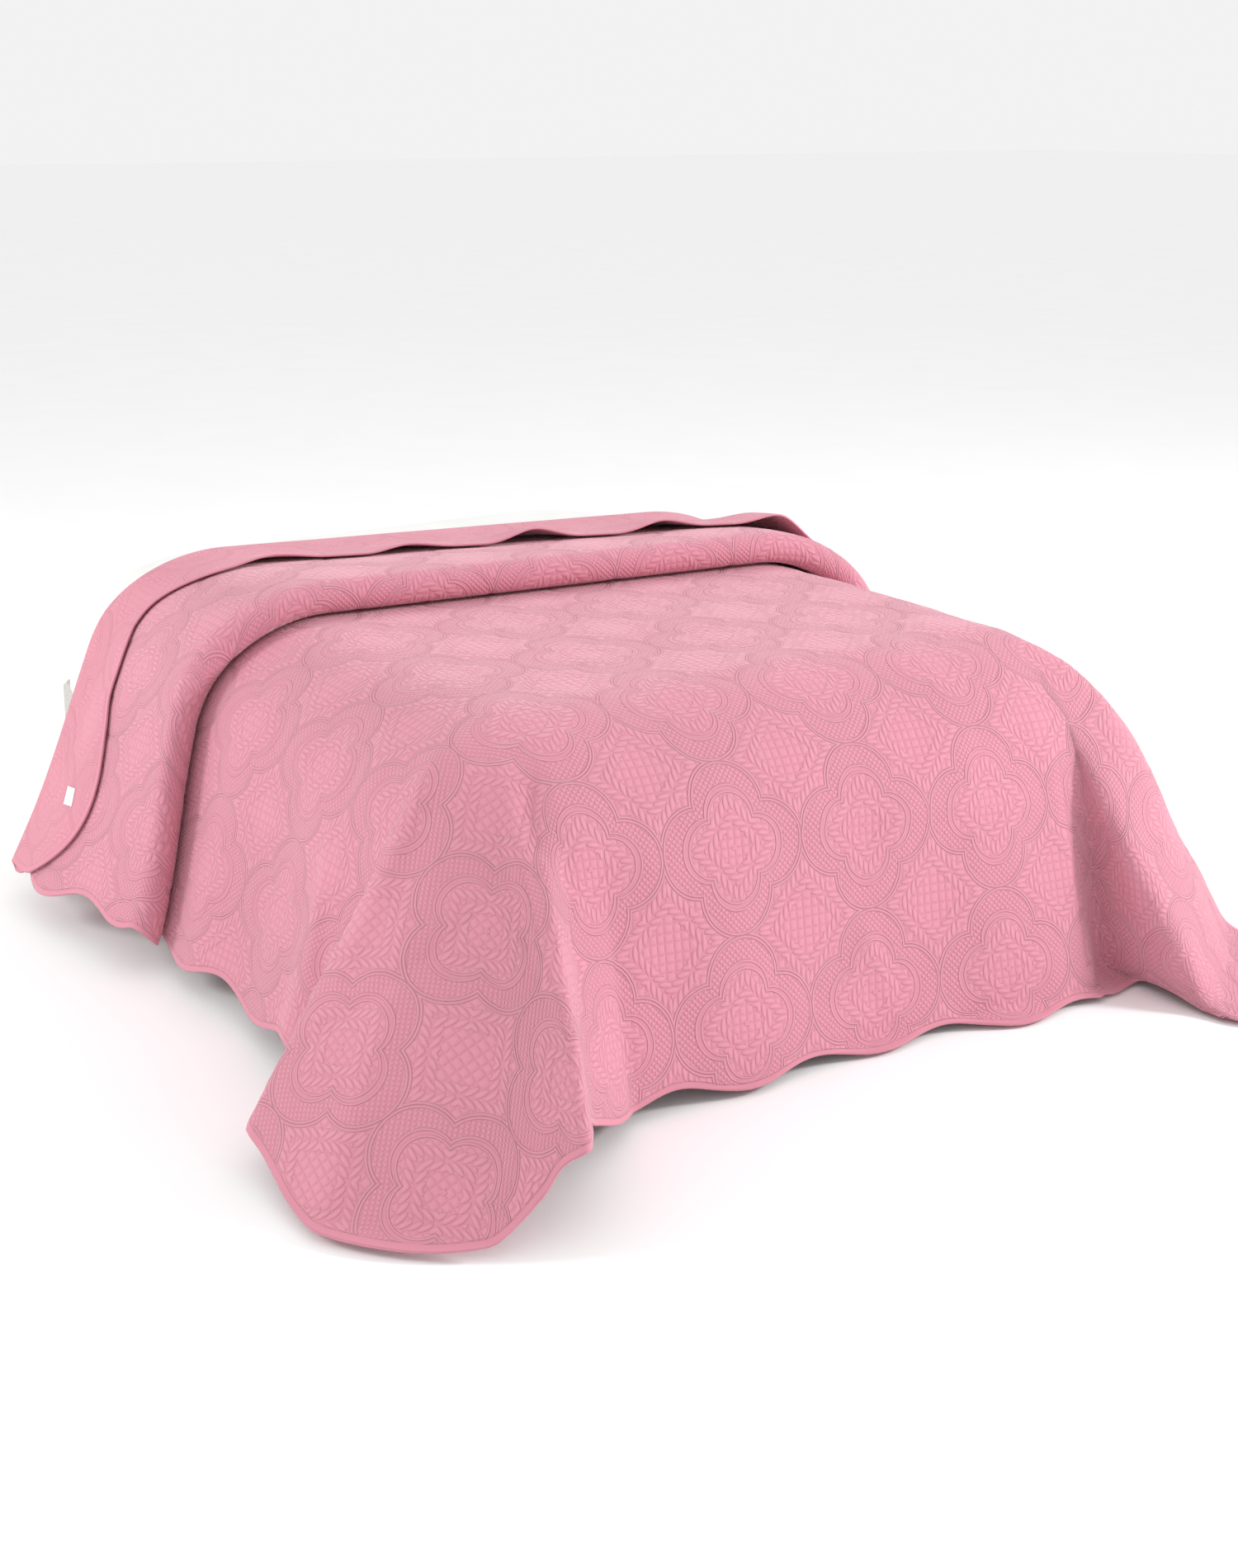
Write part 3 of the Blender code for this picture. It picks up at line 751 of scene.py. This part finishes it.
def quiltMaterial(name, puff, colour, grooveShadeColour, sheen):
    # brushed polyester microfibre, stitched in relief: matt, with a short soft nap
    # that pales at grazing angles
    material, tree = newMaterial(name)
    height = stitchedHeight(tree)
    hem = addNode(tree, "Attribute", attribute_name="fromHem", attribute_type="GEOMETRY").outputs["Fac"]
    onHem = addNode(tree, "MapRange", (hem, 0.0105, 0.0125, 1.0, 0.0), interpolation_type="SMOOTHSTEP")
    seam = addNode(tree, "MapRange", (hem, 0.0105, 0.0150, 0.0, 1.0), interpolation_type="SMOOTHSTEP")
    body = addNode(tree, "Math", (height, seam), operation="MULTIPLY")
    relief = addNode(tree, "Mix", {0: onHem, 2: body, 3: 0.50}, data_type="FLOAT")

    # nap: 0.4 mm yarns drawn at about 1 mm so that they show; puckers 13 mm, shading 250 mm wide
    place = addNode(tree, "TexCoord").outputs["Object"]
    nap = addNode(tree, "TexNoise", {"Vector": place, "Scale": 900.0, "Detail": 2.0, "Roughness": 0.6})
    pucker = addNode(tree, "TexNoise", {"Vector": place, "Scale": 75.0, "Detail": 2.0, "Roughness": 0.5})
    shade = addNode(tree, "TexNoise", {"Vector": place, "Scale": 4.0, "Detail": 3.0, "Roughness": 0.5})

    # painted shade and highlight: the colour darkens to the groove colour where the quilting lies low, in the
    # stitched lines and at the binding's seam, and the raised cords and leaves get the full face colour as a
    # painted highlight
    tone = addNode(tree, "MapRange", (relief, 0.25, 0.95, 0.0, 1.0), interpolation_type="SMOOTHSTEP")
    grooveShaded = addNode(tree, "Mix", {0: tone, 6: linearColour(grooveShadeColour), 7: linearColour(colour)},
                   data_type="RGBA")
    uneven = addNode(tree, "MapRange", (shade, 0.3, 0.7, 0.965, 1.02))
    tint = addNode(tree, "Mix", {0: 1.0, 6: grooveShaded.outputs[2], 7: uneven},
                   data_type="RGBA", blend_type="MULTIPLY")

    first = addNode(tree, "Bump", {"Strength": 1.0, "Distance": puff, "Height": relief})
    second = addNode(tree, "Bump", {"Strength": 0.5, "Distance": 0.0012, "Height": pucker, "Normal": first})
    third = addNode(tree, "Bump", {"Strength": 0.35, "Distance": 0.0003, "Height": nap, "Normal": second})
    shader = addNode(tree, "BsdfPrincipled", {
        "Base Color": tint.outputs[2], "Roughness": 0.86, "IOR": 1.46, "Specular IOR Level": 0.25,
        "Sheen Weight": sheen, "Sheen Roughness": 0.42, "Sheen Tint": linearColour("F8E4E8"),
        "Normal": third})
    addNode(tree, "OutputMaterial", (shader,))
    return material


def shellFaces(rows, wide):
    # both sides of the cloth and its edge, faces out
    index = np.arange(rows * wide).reshape(rows, wide)
    low = index + rows * wide
    a, b, c, d = index[:-1, :-1], index[:-1, 1:], index[1:, 1:], index[1:, :-1]
    faces = [np.stack((a, b, c, d), -1).reshape(-1, 4)]
    a, b, c, d = low[:-1, :-1], low[1:, :-1], low[1:, 1:], low[:-1, 1:]
    faces.append(np.stack((a, b, c, d), -1).reshape(-1, 4))
    for up, down, flip in ((index[0], low[0], False), (index[-1], low[-1], True),
                           (index[:, 0], low[:, 0], True), (index[:, -1], low[:, -1], False)):
        side = (down[:-1], down[1:], up[1:], up[:-1])
        faces.append(np.stack(side[::-1] if flip else side, -1))
    return faces


def layFlatPlaces(mesh, name, flat):
    # the same flat places for both sides of the cloth
    loops = np.zeros(len(mesh.loops), np.int32)
    mesh.loops.foreach_get("vertex_index", loops)
    layer = mesh.uv_layers.new(name=name)
    layer.data.foreach_set("uv", np.tile(flat, (2, 1))[loops].ravel())


def makeQuilt():
    widths, lengths, hems = flatGrid()
    rows, wide = widths.shape
    flatWidth, flatLength, hem = widths.ravel(), lengths.ravel(), hems.ravel()
    normal = clothNormal(flatWidth, flatLength)
    centre = clothPoint(flatWidth, flatLength) + normal * swell(flatWidth, flatLength)[:, None]
    half = quilt["thickness"] / 2.0
    # the seam of the binding draws the cloth in
    binding = quilt["bindingWidth"]
    groove = 1.0 - quilt["bindingGroove"] * bell(hem - binding, quilt["bindingGrooveHalf"])
    thin = np.where(hem < binding, 1.0, groove)
    relief = quiltingRelief(flatWidth, flatLength) * smoothStep(hem / quilt["reliefFromHem"])
    upper = centre + normal * (half * thin + relief)[:, None]
    lower = centre - normal * (half * thin)[:, None]
    faces = shellFaces(rows, wide)
    mesh = bpy.data.meshes.new("quilt_cloth")
    mesh.from_pydata(np.vstack((upper, lower)).tolist(), [], np.vstack(faces).tolist())

    layFlatPlaces(mesh, "medallions", np.stack(medallionPlace(flatWidth, flatLength), -1))
    layer = mesh.attributes.new("fromHem", "FLOAT", "POINT")
    layer.data.foreach_set("value", np.tile(hem, 2))

    puff = stitching["puff"]
    mesh.materials.append(quiltMaterial("pink brushed microfibre face", puff,
                                        quilt["faceColour"], quilt["faceGrooveShade"], quilt["faceSheen"]))
    mesh.materials.append(quiltMaterial("pink brushed microfibre back", puff * quilt["backPuff"],
                                        quilt["backColour"], quilt["backGrooveShade"], quilt["backSheen"]))
    slots = np.zeros(len(mesh.polygons), np.int32)
    slots[len(faces[0]):] = 1
    mesh.polygons.foreach_set("material_index", slots)
    mesh.shade_smooth()
    mesh.update()
    item = addObject("quilt_cloth", mesh)

    corners = np.stack((widths, lengths), -1)
    one, two = corners[1:, 1:] - corners[:-1, :-1], corners[1:, :-1] - corners[:-1, 1:]
    area = float(np.abs(one[..., 0] * two[..., 1] - one[..., 1] * two[..., 0]).sum() / 2.0)
    print("quilt made,", len(mesh.polygons), "faces, flat area", round(area, 3))
    return item, area


quiltCloth, quiltArea = makeQuilt()
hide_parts("quilt")
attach(quiltCloth, "root")


# Care label: blank woven tape, sewn to the back of the flap

label = {
    "size": 0.036,
    "across": -1.52,
    "fromEdge": 0.095,
    "thickness": 0.0010,
    "gap": 0.0004,
    "steps": 16,
    "curl": 0.0016,
    "lowColour": "E6E6E4",
    "highColour": "F6F6F5",
}


def labelMaterial():
    # polyester satin tape, woven: smooth, faintly glossy, ribbed across
    material, tree = newMaterial("white woven satin tape")
    flat = addNode(tree, "UVMap", uv_map="tape")
    # 0.3 mm ribs drawn at 2.4 mm so that they show
    ribs = addNode(tree, "TexWave", {"Vector": flat, "Scale": 30.0 / (2 * pi), "Distortion": 0.2},
                   bands_direction="Y")
    low, high = linearColour(label["lowColour"]), linearColour(label["highColour"])
    tone = addNode(tree, "Mix", {0: ribs.outputs[1], 6: low, 7: high}, data_type="RGBA")
    bump = addNode(tree, "Bump", {"Strength": 0.4, "Distance": 0.0002, "Height": ribs.outputs[1]})
    shader = addNode(tree, "BsdfPrincipled", {
        "Base Color": tone.outputs[2], "Roughness": 0.45, "IOR": 1.5, "Normal": bump})
    addNode(tree, "OutputMaterial", (shader,))
    return material


def makeLabel():
    steps = label["steps"]
    places = np.linspace(0.0, 1.0, steps + 1)
    i, j = np.meshgrid(places, places)
    i, j = i.ravel(), j.ravel()
    middle = (label["across"] - quilt["firstAcross"]) * quilt["medallionWidth"]
    edge = quilt["length"] - label["fromEdge"]
    width = middle + label["size"] * (i - 0.5)
    length = edge - label["size"] * (1.0 - j)
    outward = -clothNormal(width, length)
    stand = quilt["thickness"] / 2.0 + label["gap"] - swell(width, length)
    base = clothPoint(width, length) + outward * stand[:, None]
    # the tape is sewn along one end and lifts a little at the other
    lift = label["curl"] * (1.0 - j) ** 2
    inner = base + outward * lift[:, None]
    outer = inner + outward * label["thickness"]
    faces = shellFaces(steps + 1, steps + 1)
    mesh = bpy.data.meshes.new("care_label_tape")
    mesh.from_pydata(np.vstack((inner, outer)).tolist(), [], np.vstack(faces).tolist())
    layFlatPlaces(mesh, "tape", np.stack((i, j), -1))
    mesh.materials.append(labelMaterial())
    mesh.shade_smooth()
    return addObject("care_label_tape", mesh)


labelTape = makeLabel()
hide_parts("care_label")
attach(labelTape, "root")
print("label made")


# Mattress, plain, in a fitted cotton sheet

mattress = {
    "width": 1.520,
    "length": 2.000,
    "top": 0.610,
    "bottom": 0.3003,
    "edgeRadius": 0.265,
    "cornerRadius": 0.265,
    "bottomBevel": 0.020,
    "undersideInset": 0.10,
    "topReach": 0.70,
    "topStep": 0.030,
    "edgeSteps": 32,
    "quarterSteps": 14,
    "sideSteps": 40,
    "dent": 0.0022,
    "dentSize": 0.16,
    "fineDentSize": 0.06,
    "dentsFrom": 0.02,
    "colour": "E9E9E7",
}


def cottonMaterial():
    # bleached cotton percale, woven and washed: matt, crisp, slightly uneven
    material, tree = newMaterial("white cotton percale")
    place = addNode(tree, "TexCoord").outputs["Object"]
    # 0.3 mm yarns drawn at 1.5 mm so that they show; crumples 110 mm wide
    weave = addNode(tree, "TexNoise", {"Vector": place, "Scale": 650.0, "Detail": 1.0})
    soft = addNode(tree, "TexNoise", {"Vector": place, "Scale": 9.0, "Detail": 4.0, "Roughness": 0.55})
    tone = addNode(tree, "MapRange", (soft, 0.3, 0.7, 0.95, 1.0))
    tint = addNode(tree, "Mix", {0: 1.0, 6: linearColour(mattress["colour"]), 7: tone},
                   data_type="RGBA", blend_type="MULTIPLY")
    crumple = addNode(tree, "Bump", {"Strength": 0.5, "Distance": 0.004, "Height": soft})
    fine = addNode(tree, "Bump", {"Strength": 0.3, "Distance": 0.0003, "Height": weave, "Normal": crumple})
    shader = addNode(tree, "BsdfPrincipled", {
        "Base Color": tint.outputs[2], "Roughness": 0.85, "IOR": 1.5, "Specular IOR Level": 0.3,
        "Sheen Weight": 0.08, "Normal": fine})
    addNode(tree, "OutputMaterial", (shader,))
    return material


def ringPoints(halfX, halfY, radius, height):
    # a rounded rectangle: quarter circles, and straight sides between them
    def arcPoint(quarter, turn):
        signX = 1.0 if quarter % 4 in (0, 3) else -1.0
        signY = 1.0 if quarter % 4 in (0, 1) else -1.0
        x = (halfX - radius) * signX + radius * cos(turn)
        y = (halfY - radius) * signY + radius * sin(turn)
        return Vector((x, y, height))

    arc, side = mattress["quarterSteps"], mattress["sideSteps"]
    points = []
    for quarter in range(4):
        points += [arcPoint(quarter, pi / 2 * (quarter + step / arc)) for step in range(arc)]
        start = arcPoint(quarter, pi / 2 * (quarter + 1))
        end = arcPoint(quarter + 1, pi / 2 * (quarter + 1))
        points += [start.lerp(end, step / side) for step in range(side)]
    return points


def makeMattress():
    # rings from the underside over the rounded edge to the middle of the top: inset, rise
    rings = []
    bevel = mattress["bottomBevel"]
    levels = [(bevel + mattress["undersideInset"], 0.0), (bevel, 0.0), (0.3 * bevel, 0.3 * bevel),
              (0.0, bevel)]
    for i in range(mattress["edgeSteps"] + 1):
        turn = 0.5 * pi * i / mattress["edgeSteps"]
        rise = mattress["top"] - mattress["edgeRadius"] * (1.0 - sin(turn)) - mattress["bottom"]
        levels.append((mattress["edgeRadius"] * (1.0 - cos(turn)), rise))
    deep = mattress["edgeRadius"]
    topRise = mattress["top"] - mattress["bottom"]
    while deep < mattress["topReach"]:
        deep += mattress["topStep"]
        levels.append((deep, topRise))
    for inset, rise in levels:
        halfX, halfY = mattress["width"] / 2.0 - inset, mattress["length"] / 2.0 - inset
        radius = max(mattress["cornerRadius"] - 0.6 * inset, min(0.05, halfX * 0.5))
        rings.append(ringPoints(halfX, halfY, radius, mattress["bottom"] + rise))
    mesh = bmesh.new()
    loops = [[mesh.verts.new(point) for point in ring] for ring in rings]
    for below, above in zip(loops, loops[1:]):
        for i in range(len(below)):
            k = (i + 1) % len(below)
            mesh.faces.new((below[i], below[k], above[k], above[i]))
    mesh.faces.new(loops[0][::-1])
    mesh.faces.new(loops[-1])
    mesh.normal_update()
    for vertex in mesh.verts:
        place = vertex.co
        if place.z < mattress["bottom"] + mattress["dentsFrom"]:
            continue
        # gentle dents
        dent = noise.noise(place / mattress["dentSize"] + Vector((3.0, 1.0, 7.0)))
        dent = dent + 0.5 * noise.noise(place / mattress["fineDentSize"])
        vertex.co = place - vertex.normal * mattress["dent"] * (0.6 + 0.6 * dent)
    data = bpy.data.meshes.new("mattress_in_sheet")
    mesh.to_mesh(data)
    mesh.free()
    data.shade_smooth()
    data.materials.append(cottonMaterial())
    return addObject("mattress_in_sheet", data)


mattressPad = makeMattress()
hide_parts("mattress")
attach(mattressPad, "root")
print("mattress made")


# Bed base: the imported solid, upholstered

bedBase = {
    "darkColour": "B4B1AC",
    "lightColour": "CFCCC7",
}


def upholsteryMaterial():
    # polyester linen look upholstery, woven: matt, flecked light grey
    material, tree = newMaterial("light grey woven upholstery")
    place = addNode(tree, "TexCoord").outputs["Object"]
    # 0.8 mm slub yarns drawn at 2 mm so that they show
    slub = addNode(tree, "TexNoise", {"Vector": place, "Scale": 420.0, "Detail": 2.0, "Roughness": 0.6})
    wide = addNode(tree, "TexNoise", {"Vector": place, "Scale": 6.0, "Detail": 3.0})
    tone = addNode(tree, "MapRange", (slub, 0.35, 0.65, 0.0, 1.0))
    dark, light = linearColour(bedBase["darkColour"]), linearColour(bedBase["lightColour"])
    fleck = addNode(tree, "Mix", {0: tone, 6: dark, 7: light}, data_type="RGBA")
    soft = addNode(tree, "MapRange", (wide, 0.3, 0.7, 0.94, 1.02))
    tint = addNode(tree, "Mix", {0: 1.0, 6: fleck.outputs[2], 7: soft},
                   data_type="RGBA", blend_type="MULTIPLY")
    bump = addNode(tree, "Bump", {"Strength": 0.5, "Distance": 0.0006, "Height": slub})
    shader = addNode(tree, "BsdfPrincipled", {
        "Base Color": tint.outputs[2], "Roughness": 0.9, "IOR": 1.5, "Specular IOR Level": 0.3,
        "Sheen Weight": 0.1, "Normal": bump})
    addNode(tree, "OutputMaterial", (shader,))
    return material


# the solid itself is the visible base
baseMaterial = upholsteryMaterial()
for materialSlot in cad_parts["bed_base"].material_slots:
    materialSlot.material = baseMaterial
print("base finished")
